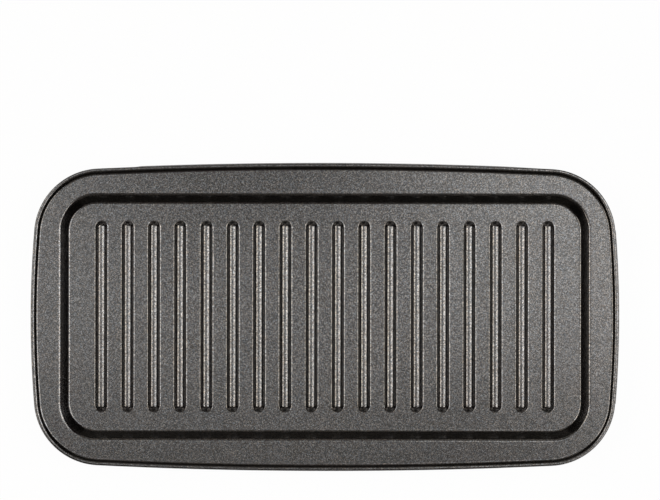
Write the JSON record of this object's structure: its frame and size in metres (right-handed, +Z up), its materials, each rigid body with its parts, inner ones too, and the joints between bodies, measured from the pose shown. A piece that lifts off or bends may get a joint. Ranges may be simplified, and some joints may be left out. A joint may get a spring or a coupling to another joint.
{
  "type": "sandwich maker grill plate",
  "caption": "Removable ribbed grill plate of a countertop sandwich maker: coated aluminium casting with a raised lip, sunken floor and grooved heater seat underneath.",
  "frame": {"origin": "under the middle of the plate, in the plane of the heater seat's lower face", "axes": "+X along the plate towards the end with the ledge, +Y across it towards the back edge, where the heater's tails leave, +Z up, out of the cooking side"},
  "size_m": [0.2648, 0.1388, 0.0122],
  "materials": {
    "non_stick_coat": "dark grey satin non-stick coat over cast aluminium, with a fine metallic sparkle"
  },
  "bodies": {
    "root": {"grill_plate": "non_stick_coat"}
  },
  "joints": []
}
